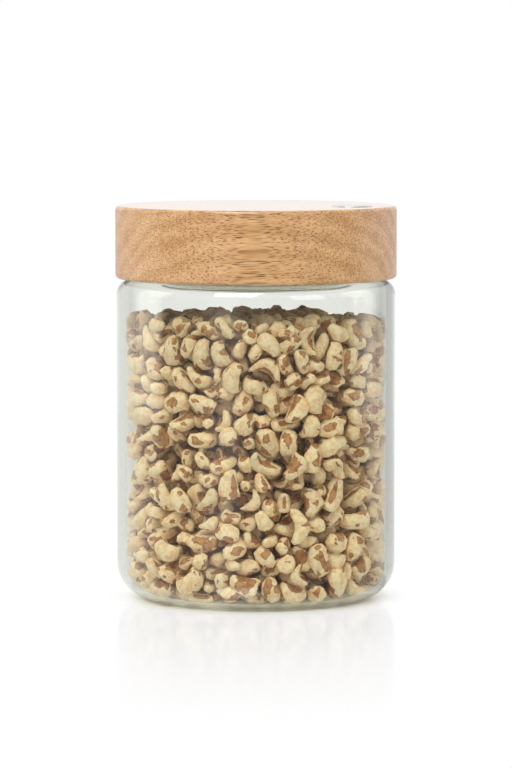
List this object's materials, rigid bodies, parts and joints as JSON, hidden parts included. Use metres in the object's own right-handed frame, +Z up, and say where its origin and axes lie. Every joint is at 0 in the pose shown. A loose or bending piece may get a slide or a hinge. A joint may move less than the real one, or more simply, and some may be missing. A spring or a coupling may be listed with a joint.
{
  "type": "storage canister",
  "caption": "Straight-sided glass storage canister with a rounded foot and a thick turned wooden push-on lid with a silicone seal.",
  "frame": {"origin": "centre of the foot, on the surface that the canister stands on", "axes": "+Z up along the axis of the jar, -Y towards the viewer of the picture"},
  "size_m": [0.101, 0.101, 0.1418],
  "materials": {
    "jar_glass": "clear pressed glass with a faint green tint",
    "cap_wood": "turned pale hardwood, sanded and lightly oiled",
    "liner_plastic": "moulded off-white plastic, satin",
    "seal_silicone": "translucent white silicone",
    "badge_metal": "thin satin metal disc, plain"
  },
  "bodies": {
    "jar": {"glass_jar": "jar_glass"},
    "lid": {"lid_cap": "cap_wood", "lid_liner": "liner_plastic", "seal_ring": "seal_silicone", "lid_badge": "badge_metal"}
  },
  "joints": [
    {"name": "lid_lift", "type": "slide", "parent": "jar", "child": "lid", "axis": [0, 0, 1], "range_m": [0, 0.06]}
  ]
}
